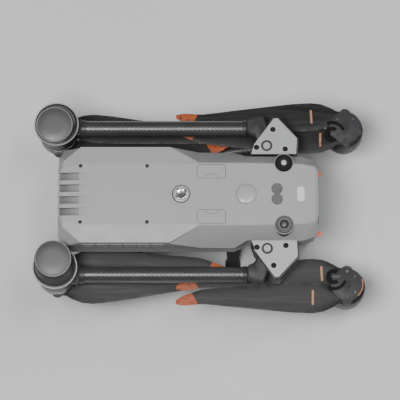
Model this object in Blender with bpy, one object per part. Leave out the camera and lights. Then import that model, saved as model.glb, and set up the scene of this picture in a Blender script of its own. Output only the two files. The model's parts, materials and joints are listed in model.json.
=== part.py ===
"""Folded quadcopter: fuselage, four folding arms with folding propellers, gimbal camera, two batteries.

Millimetres throughout, turned into metres when a mesh is made. +X is the nose, +Y the left side, +Z up.
The origin is on the ground below the middle of the folded machine. It is modelled folded, as it is stored.
"""

import math

import bmesh
import bpy
from mathutils import Vector

MM = 0.001
GAP = 0.3
SIDES = (("left", 1), ("right", -1))

# Fuselage
DECK_Z = 180.0
SPLIT_Z = 128.0
BELLY_Z = 60.0
TAIL_X = -156.0
NOSE_X = 129.6
SKIN = 2.0
DECK_HALF = 34.5
REAR_HALF = 54.0
NOSE_HALF = 47.5
HULL_HALF = 38.4

# Front arms: high hinges near the nose, arms folded back along the sides
FRONT_HINGE = (73.7, 58.0)
FRONT_ARM_Y = 83.0
FRONT_ARM_Z = 143.0
FRONT_MOTOR = (-158.4, 80.3)
FRONT_TUBE_END = 52.0
BRACKET_Z = 165.0
HINGE_FLOOR_Z = 127.0
PLATE = 3.0

# Rear arms: low hinges near the tail, arms folded forwards
REAR_HINGE = (-90.0, 54.0)
REAR_ARM_Z = 80.0
REAR_MOTOR = (163.0, 90.0)
REAR_HINGE_FLOOR_Z = 63.0
REAR_HINGE_TOP_Z = 97.0

TUBE_R = 8.7
TUBE_BORE = 7.2
FOLD_PIN_R = 3.0

# Rotors
BELL_R = 21.0
BELL_H = 19.6
HUB_R = 18.0
CHEEK = 1.8
HUB_SLOT = 8.4
HUB_BOSS_R = 6.6
BLADE_PIN_R = 2.0
BLADE_PIN_OFFSET = 14.5
BLADE_LENGTH = 190.0
BLADE_CHORD = 35.0
BLADE_PITCH = 11.0
BLADE_TIP_PITCH = 5.0
BLADE_EYE_R = 7.0

# Gimbal camera under the nose
GIMBAL_X = 96.0
NOSE_FLOOR_Z = 95.0
TILT_Z = 42.0
CAMERA_SIZE = (46.0, 46.0, 38.0)

# Batteries, side by side, sliding out of the tail
BATTERY_SIZE = (118.0, 34.4, 70.0)
BATTERY_X = -93.0
BATTERY_Z = 113.0


def remove_everything():
    for item in list(bpy.data.objects):
        bpy.data.objects.remove(item, do_unlink=True)


def material(name, colour, roughness, metallic=0.0, alpha=1.0):
    made = bpy.data.materials.new(name)
    made.use_nodes = True
    shader = made.node_tree.nodes["Principled BSDF"]
    shader.inputs["Base Color"].default_value = (*colour, 1.0)
    shader.inputs["Roughness"].default_value = roughness
    shader.inputs["Metallic"].default_value = metallic
    shader.inputs["Alpha"].default_value = alpha
    return made


LIGHT_GREY = ((0.42, 0.42, 0.43), 0.5, 0.0)
BRACKET_GREY = ((0.46, 0.47, 0.47), 0.45, 0.0)
BLACK_PLASTIC = ((0.03, 0.03, 0.032), 0.5, 0.0)
CARBON = ((0.05, 0.05, 0.052), 0.4, 0.0)
BLADE_BLACK = ((0.035, 0.035, 0.035), 0.42, 0.0)
DARK_METAL = ((0.09, 0.09, 0.095), 0.38, 0.7)
SILVER = ((0.45, 0.45, 0.46), 0.35, 0.8)
STEEL = ((0.5, 0.5, 0.51), 0.3, 1.0)
GLASS_BLACK = ((0.01, 0.01, 0.012), 0.08, 0.0)
BOARD_GREEN = ((0.02, 0.12, 0.06), 0.5, 0.0)
BATTERY_GREY = ((0.10, 0.10, 0.105), 0.5, 0.0)


def link(name, mesh, finish, parent=None, at=(0, 0, 0), smooth=True):
    """Put a mesh in the scene as a named part, at a place given in its parent's frame."""
    made = bpy.data.objects.new(name, mesh)
    bpy.context.scene.collection.objects.link(made)
    made.location = Vector(at) * MM
    made.parent = parent
    if finish:
        mesh.materials.append(material(name, *finish))
    if smooth:
        mesh.shade_smooth()
        mesh.set_sharp_from_angle(angle=math.radians(32))
    return made


def empty(name, at, parent=None):
    """A joint axis, at a place given in its parent's frame."""
    made = bpy.data.objects.new(name, None)
    bpy.context.scene.collection.objects.link(made)
    made.location = Vector(at) * MM
    made.parent = parent
    return made


def mesh_of(name, shape):
    points, faces = shape
    mesh = bpy.data.meshes.new(name)
    build = bmesh.new()
    made = [build.verts.new(Vector(p) * MM) for p in points]
    for face in faces:
        build.faces.new([made[i] for i in face])
    bmesh.ops.recalc_face_normals(build, faces=build.faces)
    build.to_mesh(mesh)
    build.free()
    return mesh


def part(name, shape, finish, parent=None, at=(0, 0, 0)):
    return link(name, mesh_of(name, shape), finish, parent, at)


def tool(shape, parent=None, at=(0, 0, 0)):
    """A hidden body that a Boolean cuts or joins with."""
    made = link("tool", mesh_of("tool", shape), None, parent, at, smooth=False)
    made.hide_render = True
    made.display_type = "WIRE"
    return made


def boolean(target, other, operation):
    step = target.modifiers.new(operation.lower(), "BOOLEAN")
    step.object = other
    step.operation = operation
    step.solver = "EXACT"


def cut(target, shape, parent=None, at=(0, 0, 0)):
    boolean(target, tool(shape, parent, at), "DIFFERENCE")


def join(target, shape, parent=None, at=(0, 0, 0)):
    boolean(target, tool(shape, parent, at), "UNION")


def bevel(target, width, segments=1, angle=40):
    step = target.modifiers.new("bevel", "BEVEL")
    step.width = width * MM
    step.segments = segments
    step.limit_method = "ANGLE"
    step.angle_limit = math.radians(angle)


def loft(rings, closed_ends=True):
    """Skin a row of rings that have the same number of points."""
    count = len(rings[0])
    points = [p for ring in rings for p in ring]
    faces = []
    for row in range(len(rings) - 1):
        low = row * count
        for i in range(count):
            j = (i + 1) % count
            faces.append((low + i, low + j, low + count + j, low + count + i))
    if closed_ends:
        faces.append(tuple(range(count)))
        faces.append(tuple(range(len(points) - count, len(points))))
    return points, faces


def prism(outline, low, high):
    """A plan outline raised between two heights."""
    return loft([[(x, y, z) for x, y in outline] for z in (low, high)])


def slab(size, centre=(0, 0, 0)):
    (a, b, c), (x, y, z) = size, centre
    left, right, front, back = x - a / 2, x + a / 2, y - b / 2, y + b / 2
    outline = [(left, front), (right, front), (right, back), (left, back)]
    return prism(outline, z - c / 2, z + c / 2)


def turned(profile, steps=24, axis="Z"):
    """Turn a closed profile of (radius, height) points; a radius of 0 is a point on the axis."""
    points, rings, faces = [], [], []
    for radius, height in profile:
        if radius == 0:
            rings.append([len(points)] * steps)
            points.append((0, 0, height))
            continue
        rings.append(list(range(len(points), len(points) + steps)))
        for i in range(steps):
            angle = 2 * math.pi * i / steps
            points.append((radius * math.cos(angle), radius * math.sin(angle), height))
    for k, ring in enumerate(rings):
        following = rings[(k + 1) % len(rings)]
        for i in range(steps):
            j = (i + 1) % steps
            corners = dict.fromkeys((ring[i], ring[j], following[j], following[i]))
            if len(corners) > 2:
                faces.append(tuple(corners))
    order = {"Z": (0, 1, 2), "X": (2, 0, 1), "Y": (1, 2, 0)}[axis]
    return [tuple(p[i] for i in order) for p in points], faces


def rod(radius, low, high, steps=16, axis="Z"):
    return turned([(0, low), (radius, low), (radius, high), (0, high)], steps, axis)


def pipe(radius, bore, low, high, steps=16, axis="Z"):
    return turned([(radius, low), (radius, high), (bore, high), (bore, low)], steps, axis)


def moved(shape, by):
    points, faces = shape
    return [tuple(a + b for a, b in zip(p, by)) for p in points], faces


def yawed(shape, degrees):
    points, faces = shape
    cosine, sine = math.cos(math.radians(degrees)), math.sin(math.radians(degrees))
    return [(x * cosine - y * sine, x * sine + y * cosine, z) for x, y, z in points], faces


def fillet(centre, radius, start, end, steps=6):
    """Points along an arc, for the round stretches of an outline."""
    angles = [math.radians(start + (end - start) * i / steps) for i in range(steps + 1)]
    return [(centre[0] + radius * math.cos(a), centre[1] + radius * math.sin(a)) for a in angles]


def leaned(shape, base, lean_x, lean_y):
    """Shift each point sideways in proportion to its height above the base."""
    points, faces = shape
    return [(x + (z - base) * lean_x, y + (z - base) * lean_y, z) for x, y, z in points], faces


def skin(stations, tail_closed):
    """A shell surface through half sections, open along its lower or upper edge."""
    rows = []
    for x, half in stations:
        right = [(x, -y, z) for y, z in reversed(half)]
        rows.append(right + [(x, y, z) for y, z in half])
    count = len(rows[0])
    points = [p for row in rows for p in row]
    faces = []
    for row in range(len(rows) - 1):
        low = row * count
        for i in range(count - 1):
            faces.append((low + i, low + i + 1, low + count + i + 1, low + count + i))
    faces.append(tuple(range(len(points) - count, len(points))))
    if tail_closed:
        faces.append(tuple(range(count)))
    return points, faces


def shell(name, stations, finish, tail_closed):
    made = part(name, skin(stations, tail_closed), finish)
    made.data.set_sharp_from_angle(angle=math.radians(12))
    step = made.modifiers.new("wall", "SOLIDIFY")
    step.thickness = SKIN * MM
    step.offset = -1
    step.use_even_offset = True
    return made


def rounded(width, depth, corner, steps=3):
    """A rounded rectangle's outline about the origin."""
    outline = []
    for sx, sy, start in ((1, 1, 0), (-1, 1, 90), (-1, -1, 180), (1, -1, 270)):
        centre = (sx * (width / 2 - corner), sy * (depth / 2 - corner))
        outline += fillet(centre, corner, start, start + 90, steps)
    return outline


# Fuselage shells

BUTTON_AT = (-20.6, 0.0)
BUTTON_R = 9.0
BEACON_AT = (50.9, 0.0)
BEACON_R = 11.1
TOP_CAMERA_AT = (92.0, 34.6)
TOP_CAMERA_R = 9.4
PORT_AT = (12.5, 25.4)
PORT_SIZE = (31.0, 15.2)
PORT_CORNER = 2.6
LOCK_AT = (TAIL_X + 1.7, 0.0, 160.0)
LOCK_R = 7.0
LOCK_SHAFT_R = 3.0
BAY_TOP_Z = 150.0
SCOOP_YS = (19.8, 6.6, -6.6, -19.8)
SCOOP_STEPS = ((-115, 180.2, 1.8), (-127, 179.0, 4.3), (-159, 173.0, 4.3))


def scoop(y):
    """A wedge that breaks through the deck and the tail's upper edge, leaving a tapering exhaust slot."""
    rings = []
    for x, floor, half in SCOOP_STEPS:
        rings.append([(x, y - half, floor), (x, y + half, floor), (x, y + half, 182), (x, y - half, 182)])
    return loft(rings)


def top_shell():
    stations = [
        (TAIL_X, ((17, 177), (20, 176.4), (44, 158), (44, SPLIT_Z))),
        (-150.0, ((30, 179), (37, 178.2), (REAR_HALF, 158), (REAR_HALF, SPLIT_Z))),
        (-131.0, ((DECK_HALF, DECK_Z), (REAR_HALF - 0.4, 177), (REAR_HALF, 172), (REAR_HALF, SPLIT_Z))),
        (-33.0, ((DECK_HALF, DECK_Z), (REAR_HALF - 0.4, 177), (REAR_HALF, 172), (REAR_HALF, SPLIT_Z))),
        (-1.0, ((DECK_HALF, DECK_Z), (DECK_HALF + 1, 179.3), (REAR_HALF, 150), (REAR_HALF, SPLIT_Z))),
        (38.0, ((DECK_HALF, DECK_Z), (DECK_HALF + 1, 179.3), (REAR_HALF, 148), (REAR_HALF, SPLIT_Z))),
        (52.0, ((DECK_HALF, DECK_Z), (DECK_HALF + 1, 179.3), (NOSE_HALF, 159), (NOSE_HALF, SPLIT_Z))),
        (113.0, ((33, DECK_Z), (34, 179.3), (NOSE_HALF, 157), (NOSE_HALF - 1, SPLIT_Z))),
        (126.0, ((30, 179.4), (31.5, 178.4), (43, 156), (42, SPLIT_Z))),
        (NOSE_X, ((24, 177), (26, 176), (37, 154), (36, SPLIT_Z))),
    ]
    made = shell("top_shell", stations, LIGHT_GREY, tail_closed=True)
    cut(made, rod(BUTTON_R + GAP, 150, 190), at=(*BUTTON_AT, 0))
    cut(made, rod(BEACON_R + GAP, 150, 190), at=(*BEACON_AT, 0))
    for _, side in SIDES:
        x, y = TOP_CAMERA_AT
        cut(made, rod(TOP_CAMERA_R + GAP, 150, 190), at=(x, y * side, 0))
        x, y = PORT_AT
        opening = rounded(PORT_SIZE[0] + 2 * GAP, PORT_SIZE[1] + 2 * GAP, PORT_CORNER + GAP)
        cut(made, prism(opening, -20, 20), at=(x, y * side, DECK_Z))
    for y in SCOOP_YS:
        cut(made, scoop(y))
    join(made, rod(LOCK_R + 2.6, 0, 3.4, 24, "X"), at=LOCK_AT)
    cut(made, rod(LOCK_R + GAP, -10, 0, 24, "X"), at=LOCK_AT)
    cut(made, rod(LOCK_SHAFT_R + GAP, -10, 10, axis="X"), at=LOCK_AT)
    cut(made, slab((12, 76, 60)), at=(TAIL_X, 0, BAY_TOP_Z - 30))


def belly_shell():
    rim = SPLIT_Z - GAP
    stations = [
        (-150.0, ((26, BELLY_Z), (HULL_HALF, 75), (HULL_HALF, rim))),
        (46.0, ((26, BELLY_Z), (HULL_HALF, 75), (HULL_HALF, rim))),
        (64.0, ((28, NOSE_FLOOR_Z), (HULL_HALF, 102), (HULL_HALF, rim))),
        (118.0, ((26, NOSE_FLOOR_Z), (34, 102), (36, rim))),
    ]
    made = shell("belly_shell", stations, BLACK_PLASTIC, tail_closed=False)
    length = BATTERY_SIZE[0] - 4
    join(made, slab((length, 2 * HULL_HALF - 2 * SKIN + 1, 2.4), (BATTERY_X, 0, 76.5)))


def deck_fittings():
    """What sits in the deck: dome, cameras, port covers and the circuit board under them."""
    dome = [(0, 170), (BEACON_R, 170), (BEACON_R, 180), (BEACON_R - 1.5, 180.8), (0, 181.4)]
    part("beacon_dome", turned(dome), LIGHT_GREY, at=(*BEACON_AT, 0))
    lens = [(0, 164), (TOP_CAMERA_R, 164), (TOP_CAMERA_R, 182.5), (8.6, 183.5), (7, 183.5), (6, 181)]
    lens += [(0, 181)]
    for name, side in SIDES:
        x, y = TOP_CAMERA_AT
        part("top_camera_" + name, turned(lens), GLASS_BLACK, at=(x, y * side, 0))
        x, y = PORT_AT
        width = PORT_SIZE[1]
        hinge = empty("port_cover_axis_" + name, (x, (y + width / 2) * side, DECK_Z + 0.1))
        cover = moved(prism(rounded(*PORT_SIZE, PORT_CORNER), -3, 0), (0, -width / 2 * side, 0))
        part("port_cover_" + name, cover, LIGHT_GREY, hinge)
    part("main_board", slab((130, 62, 2), (50, 0, 152)), BOARD_GREEN)
    barrel = [(0, 118.4), (10, 118.4), (10, 125), (7.5, 127), (6, 125.5), (0, 125.5)]
    part("fpv_camera", turned(barrel, axis="X"), GLASS_BLACK, at=(0, 0, 112))


FAN_AT = (-80.0, 0.0, 152.0)


def cooling_fan():
    axis = empty("cooling_fan_axis", FAN_AT)
    hub = part("cooling_fan", rod(8, 0, 12), BLACK_PLASTIC, axis)
    for number in range(7):
        vane = moved(slab((15, 1.4, 10)), (13.5, 0, 6))
        join(hub, yawed(vane, number * 360 / 7), axis)


def power_button():
    axis = empty("power_button_slide", (*BUTTON_AT, DECK_Z))
    knob = [(0, -8), (BUTTON_R + 2, -8), (BUTTON_R + 2, -4.5), (BUTTON_R, -4.5), (BUTTON_R, 0.9)]
    knob += [(7.6, 1.8), (0, 2.2)]
    part("power_button", turned(knob), SILVER, axis)


def batteries():
    for name, side in SIDES:
        at = (BATTERY_X, side * (BATTERY_SIZE[1] / 2 + 0.8), BATTERY_Z)
        pack = part("battery_" + name, slab(BATTERY_SIZE), BATTERY_GREY, at=at)
        bevel(pack, 2.5)
    lever = empty("battery_lock_axis", LOCK_AT)
    knob = [(0, -1.7), (LOCK_R - 0.5, -1.7), (LOCK_R, -1.2), (LOCK_R, -GAP), (LOCK_SHAFT_R, -GAP)]
    knob += [(LOCK_SHAFT_R, 9), (0, 9)]
    lock = part("battery_lock", turned(knob, axis="X"), BLACK_PLASTIC, lever)
    cut(lock, slab((2, 10.4, 1.8), (-1.9, 0, 0)), lever)


# Landing legs

LEGS = {"front": 38.0, "rear": -118.0}


def landing_legs():
    """Tapering legs from under the belly, splayed to flat feet."""
    steps = ((BELLY_Z - GAP, 18, 13, 7), (46, 24, 9, 5.5), (12, 39, 6.5, 4), (5, 42, 8, 6), (0, 42, 8, 6))
    for end, x in LEGS.items():
        for name, side in SIDES:
            rings = []
            for z, y, long, wide in steps:
                corner = wide * 0.45
                outline = []
                for sx, sy in ((1, -1), (1, 1), (-1, 1), (-1, -1)):
                    a = (x + sx * long, side * y + sy * (wide - corner), z)
                    b = (x + sx * (long - corner), side * y + sy * wide, z)
                    outline += (a, b) if sx == sy else (b, a)
                rings.append(outline)
            part("landing_leg_" + end + "_" + name, loft(rings), BLACK_PLASTIC)


# Gimbal

YAW_FLOOR_Z = 76.0
ROLL_X = 70.5
TILT_AT = (104.0, 0.0, TILT_Z)


def gimbal():
    damper = [(0, 88), (17, 88), (20, 90), (20, NOSE_FLOOR_Z - GAP), (0, NOSE_FLOOR_Z - GAP)]
    part("gimbal_mount", turned(damper), BLACK_PLASTIC, at=(GIMBAL_X, 0, 0))

    yaw = empty("gimbal_yaw_axis", (GIMBAL_X, 0, YAW_FLOOR_Z))
    motor = [(0, 0), (13, 0), (14, 1), (14, 10.7), (13, 11.7), (0, 11.7)]
    yaw_arm = part("gimbal_yaw_arm", turned(motor), DARK_METAL, yaw)
    reach = GIMBAL_X - ROLL_X
    join(yaw_arm, slab((reach + 7, 14, 6), (-reach / 2 - 3.5, 0, 3)), yaw)
    drop = YAW_FLOOR_Z - TILT_Z
    join(yaw_arm, slab((7, 18, drop + 15), (-reach - 3.8, 0, (-drop - 3) / 2)), yaw)

    roll = empty("gimbal_roll_axis", (ROLL_X - GIMBAL_X, 0, TILT_Z - YAW_FLOOR_Z), yaw)
    roll_arm = part("gimbal_roll_arm", rod(9, 0, 4.6, 20, "X"), DARK_METAL, roll)
    join(roll_arm, slab((4, 31.5, 13), (2.4, 15.2, 0)), roll)
    join(roll_arm, slab((40, 4, 13), (20.2, 29, 0)), roll)

    tilt = empty("gimbal_tilt_axis", (TILT_AT[0] - ROLL_X, 0, 0), roll)
    length, width, height = CAMERA_SIZE
    side_view = []
    for cx, cz, start in ((1, -1, 270), (1, 1, 0), (-1, 1, 90), (-1, -1, 180)):
        corner = 10 if cx < 0 else 5
        centre = (cx * (length / 2 - corner), cz * (height / 2 - corner))
        side_view += fillet(centre, corner, start, start + 90, 4)
    rings = [[(x, y, z) for x, z in side_view] for y in (-width / 2, width / 2)]
    camera = part("gimbal_camera", loft(rings), BLACK_PLASTIC, tilt)
    bevel(camera, 1.6)
    join(camera, rod(8, width / 2 - 1, width / 2 + 3.4, 20, "Y"), tilt)


# Arm hinges. Plan outlines are on the left side, measured from the hinge pin.

BRACKET_EDGE = ((-17.3, -9.1), (-13.7, 2.1), (-10, 7.2))
BRACKET_OUTLINE = ((8, 31.4), (12.5, 31.4), (33.6, 8.5), (32.5, -9.1), *BRACKET_EDGE)
UNDER_OUTLINE = ((6.5, 33), (14, 33), (35.4, 9.2), (34.5, -9.1), *BRACKET_EDGE)
BRACKET_SCREWS = ((7.0, 18.8), (-11.2, -1.6), (20.5, -3.5))
HINGE_WEB = ((-17.3, -9.1), (10.5, -9.1), (10.5, -7.0), (-17.3, -7.0))
SCREW_R = 3.0
FRONT_KNUCKLE_FLOOR_Z = HINGE_FLOOR_Z + PLATE + 0.4
UNDER_PLATE_Z = BRACKET_Z - PLATE - GAP
FRONT_KNUCKLE_TOP_Z = UNDER_PLATE_Z - PLATE - 0.7


def pin_shape(bottom, top):
    """A hinge pin with a low round head above the top plate."""
    shaft = [(0, bottom), (FOLD_PIN_R, bottom), (FOLD_PIN_R, top + GAP)]
    return shaft + [(6, top + GAP), (6, top + 1.4), (5, top + 2), (0, top + 2)]


def plan(outline, side):
    return [(x, y * side) for x, y in outline]


def front_hinge(name, side):
    x, y = FRONT_HINGE
    at = (x, y * side, 0)
    top_plate = prism(plan(BRACKET_OUTLINE, side), BRACKET_Z - PLATE, BRACKET_Z)
    plate = part("front_bracket_" + name, top_plate, BRACKET_GREY, at=at)
    for sx, sy in BRACKET_SCREWS:
        cut(plate, rod(SCREW_R, 150, 170, 12), at=(x + sx, (y + sy) * side, 0))
    low_plate = prism(plan(UNDER_OUTLINE, side), HINGE_FLOOR_Z, HINGE_FLOOR_Z + PLATE)
    block = part("front_hinge_" + name, low_plate, BLACK_PLASTIC, at=at)
    join(block, prism(plan(HINGE_WEB, side), HINGE_FLOOR_Z + 1, UNDER_PLATE_Z - 1), at=at)
    join(block, prism(plan(UNDER_OUTLINE, side), UNDER_PLATE_Z - PLATE, UNDER_PLATE_Z), at=at)
    for body in (plate, block):
        cut(body, rod(FOLD_PIN_R + GAP, 100, 190), at=at)
    profile = pin_shape(HINGE_FLOOR_Z - 1, BRACKET_Z)
    part("front_fold_pin_" + name, turned(profile, 16), STEEL, at=at)


def rear_hinge(name, side):
    x, y = REAR_HINGE
    inner = HULL_HALF + GAP - y
    outline = [(-14, inner), (14, inner)] + fillet((0, 0), 14, 0, 180, 10)
    at = (x, y * side, 0)
    body = prism(plan(outline, side), REAR_HINGE_FLOOR_Z, REAR_HINGE_TOP_Z)
    block = part("rear_bracket_" + name, body, BLACK_PLASTIC, at=at)
    web = 1.9
    room = REAR_HINGE_TOP_Z - REAR_HINGE_FLOOR_Z - 2 * PLATE
    middle = (REAR_HINGE_TOP_Z + REAR_HINGE_FLOOR_Z) / 2
    cut(block, slab((40, 40, room), (0, side * (inner + web + 20), middle)), at=at)
    join(block, turned(pin_shape(REAR_HINGE_FLOOR_Z - 1, REAR_HINGE_TOP_Z), 16), at=at)


# Rotors

HUB_H = HUB_SLOT + 2 * CHEEK
BLADE_EYE_HALF = HUB_SLOT / 2 - GAP
CLOCKING = 7.0
BLADE_LEAN = {
    "front_left": {"a": 4.5, "b": 0.0},
    "front_right": {"a": 4.5, "b": 0.0},
    "rear_left": {"a": 2.4, "b": 1.5},
    "rear_right": {"a": 0.6, "b": 3.2},
}
BLADE_STATIONS = (
    (4, 0.28, 4.5), (10, 0.36, 4.4), (16, 0.62, 4.1), (26, 0.88, 3.5), (38, 1.0, 2.9), (60, 0.97, 2.5),
    (100, 0.78, 2.2), (140, 0.58, 1.9), (164, 0.45, 1.6), (182, 0.32, 1.3), (190, 0.12, 1.0),
)
TIP_RAKE_START = 160.0
TIP_RAKE = 0.19
BLADE_SECTION = (
    (0.5, 0.0), (0.28, 0.42), (0.0, 0.55), (-0.28, 0.40),
    (-0.5, 0.05), (-0.28, -0.2), (0.0, -0.3), (0.28, -0.32),
)


def blade_shape(facing, pitch_sign):
    """A twisted, tapering blade from its pin out to its tip."""
    rings = []
    for along, width, thick in BLADE_STATIONS:
        share = along / BLADE_LENGTH
        pitch = math.radians(pitch_sign * (BLADE_PITCH + (BLADE_TIP_PITCH - BLADE_PITCH) * share))
        cosine, sine = math.cos(pitch), math.sin(pitch)
        rake = TIP_RAKE * max(0.0, along - TIP_RAKE_START) / (BLADE_LENGTH - TIP_RAKE_START)
        ring = []
        for across, up in BLADE_SECTION:
            y = (across * width - rake) * BLADE_CHORD * pitch_sign
            z = up * thick
            ring.append((along, y * cosine - z * sine, y * sine + z * cosine))
        rings.append(ring)
    return yawed(loft(rings), facing)


def flipped(shape, up):
    points, faces = shape
    return [(x, y, z * up) for x, y, z in points], faces


def rotor(prefix, arm, at, side, up, facing):
    """A motor bell, its blade hub and two folding blades; up is -1 for a motor that hangs.

    Folded, blade a lies on the outer side and blade b on the inner one, leaning a little together.
    """
    axis = empty(prefix + "_rotor_axis", at, arm)
    bell = [(0, BELL_H), (17, BELL_H), (BELL_R, 16.6), (BELL_R, GAP), (19, GAP), (19, 15.4), (0, 15.4)]
    part(prefix + "_bell", flipped(turned(bell), up), DARK_METAL, axis)
    base = BELL_H + GAP
    ceiling = CHEEK + HUB_SLOT
    profile = [(0, 0), (HUB_R - 1, 0), (HUB_R, 1), (HUB_R, CHEEK), (HUB_BOSS_R, CHEEK), (HUB_BOSS_R, ceiling)]
    profile += [(HUB_R, ceiling), (HUB_R, HUB_H - 1), (HUB_R - 2, HUB_H), (0, HUB_H)]
    hub = part(prefix + "_hub", flipped(moved(turned(profile), (0, 0, base)), up), BLACK_PLASTIC, axis)
    middle = up * (base + HUB_H / 2)
    for label, hand in (("a", 1), ("b", -1)):
        y = BLADE_PIN_OFFSET * side * hand
        stud = yawed(rod(BLADE_PIN_R, -HUB_H / 2 + 1.1, HUB_H / 2 - 1.1, 12), CLOCKING)
        join(hub, stud, axis, (0, y, middle))
        pin = empty(prefix + "_blade_axis_" + label, (0, y, middle), axis)
        lean = BLADE_LEAN[prefix][label] * side * hand * (1 if facing else -1)
        blade = part(prefix + "_blade_" + label, blade_shape(facing + lean, side * up), BLADE_BLACK, pin)
        join(blade, yawed(rod(BLADE_EYE_R, -BLADE_EYE_HALF, BLADE_EYE_HALF, 20), CLOCKING), pin)
        cut(blade, rod(BLADE_PIN_R + GAP, -10, 10, 12), pin)


# Arms

FRONT_FACE_Z = 136.2
CAN_TOP_Z = 174.0
CAP_LEAN = (-0.06, -0.28)
REAR_FACE_Z = 93.5
STATOR_R = 17.6
STATOR_H = 13.0


# The front knuckle's rings: height, reach beyond the tube's line, reach on its inner side
KNUCKLE_RINGS = (
    (FRONT_KNUCKLE_FLOOR_Z, 5.0, 5.0), (143.0, 9.5, 8.0), (155.0, 11.5, 8.0), (FRONT_KNUCKLE_TOP_Z, 9.8, 6.0),
)


def knuckle_outline(tube_y, start, outer, inner):
    outline = fillet((0, 0), 6.3, 215, 420, 8)
    outline += [(2, 12), (1.6, 20), (-0.5, 27.5), (-3.2, tube_y + outer - 1.2), (-6.2, tube_y + outer)]
    return outline + [(start, tube_y + outer - 2.8), (start, tube_y - inner), (-14, tube_y - inner - 3.5)]


def front_arm(name, side):
    prefix = "front_" + name
    x, y = FRONT_HINGE
    axis = empty(prefix + "_fold_axis", (x, y * side, 0))
    tube_y = FRONT_ARM_Y - y
    start = FRONT_TUBE_END - x
    rings = []
    for z, outer, inner in KNUCKLE_RINGS:
        outline = plan(knuckle_outline(tube_y, start, outer, inner), side)
        rings.append([(x, y, z) for x, y in outline])
    knuckle = part(prefix + "_knuckle", loft(rings), BLACK_PLASTIC, axis)
    bevel(knuckle, 1.5)
    line = (0, tube_y * side, FRONT_ARM_Z)
    join(knuckle, rod(TUBE_BORE - GAP, start - 20, start + 4, 16, "X"), axis, line)
    cut(knuckle, rod(FOLD_PIN_R + GAP, 100, 190, 16), axis)

    motor_x, motor_y = FRONT_MOTOR[0] - x, FRONT_MOTOR[1] - y
    tube_tip = motor_x + 25
    part(prefix + "_tube", pipe(TUBE_R, TUBE_BORE, tube_tip, start - GAP, 16, "X"), CARBON, axis, line)

    at = (motor_x, motor_y * side, 0)
    face = FRONT_FACE_Z
    can = [(0, face - STATOR_H), (STATOR_R, face - STATOR_H), (STATOR_R, face), (21, face), (21.5, 150)]
    can += [(24.5, CAN_TOP_Z - 5), (24.5, CAN_TOP_Z - 1), (23.5, CAN_TOP_Z), (0, CAN_TOP_Z)]
    mount = part(prefix + "_motor_mount", turned(can, 28), BLACK_PLASTIC, axis, at)
    neck = slab((17, 21, 17), (tube_tip - GAP - 8.5, tube_y * side, face + 8.8))
    join(mount, neck, axis)
    join(mount, rod(TUBE_BORE - GAP, tube_tip - 4, tube_tip + 20, 16, "X"), axis, line)
    floor = CAN_TOP_Z + GAP
    top = [(0, floor), (21.8, floor), (21.8, floor + 2), (20.6, 188.6), (19.4, 193.5), (18.4, 195), (0, 195)]
    cap = leaned(turned(top, 28), CAN_TOP_Z, CAP_LEAN[0], CAP_LEAN[1] * side)
    part(prefix + "_end_cap", cap, SILVER, axis, at)
    rotor(prefix, axis, (at[0], at[1], face), side, -1, 0)


def rear_arm(name, side):
    prefix = "rear_" + name
    x, y = REAR_HINGE
    axis = empty(prefix + "_fold_axis", (x, y * side, 0))
    motor_x, motor_y = REAR_MOTOR[0] - x, REAR_MOTOR[1] - y
    aim = math.degrees(math.atan2(motor_y, motor_x)) * side
    reach = math.hypot(motor_x, motor_y)
    low = REAR_HINGE_FLOOR_Z + PLATE + 0.4
    high = REAR_HINGE_TOP_Z - PLATE - 0.4
    start = 32
    outline = [(start, -10.5), (start, 10.5), (10, 11.5)]
    outline += fillet((0, 0), 12.3, 110, 250, 8)
    outline += [(10, -11.5)]
    knuckle = part(prefix + "_knuckle", yawed(prism(outline, low, high), aim), BLACK_PLASTIC, axis)
    bevel(knuckle, 1.5)
    line = (0, 0, REAR_ARM_Z)
    join(knuckle, yawed(rod(TUBE_BORE - GAP, start - 4, start + 20, 16, "X"), aim), axis, line)
    cut(knuckle, rod(FOLD_PIN_R + GAP, 50, 110, 16), axis)
    tip = reach - 22
    tube = pipe(TUBE_R, TUBE_BORE, start + GAP, tip, 16, "X")
    part(prefix + "_tube", yawed(tube, aim), CARBON, axis, line)
    face = REAR_FACE_Z
    can = [(0, 70), (15, 70), (19, 73), (21, 84), (21, face)]
    can += [(STATOR_R, face), (STATOR_R, face + STATOR_H), (0, face + STATOR_H)]
    at = (motor_x, motor_y * side, 0)
    mount = part(prefix + "_motor_mount", turned(can, 28), BLACK_PLASTIC, axis, at)
    join(mount, yawed(rod(10.2, tip + GAP, reach - 8, 16, "X"), aim), axis, line)
    join(mount, yawed(rod(TUBE_BORE - GAP, tip - 20, tip + 4, 16, "X"), aim), axis, line)
    rotor(prefix, axis, (at[0], at[1], face), side, 1, 180)


remove_everything()
top_shell()
belly_shell()
deck_fittings()
cooling_fan()
power_button()
batteries()
landing_legs()
gimbal()
for side_name, side_sign in SIDES:
    front_hinge(side_name, side_sign)
    rear_hinge(side_name, side_sign)
    front_arm(side_name, side_sign)
    rear_arm(side_name, side_sign)
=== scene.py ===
"""Looks for the folded quadcopter.

Tables and shapes are in millimetres and turn into metres when a mesh is made.
"""

import json
import math

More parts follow.
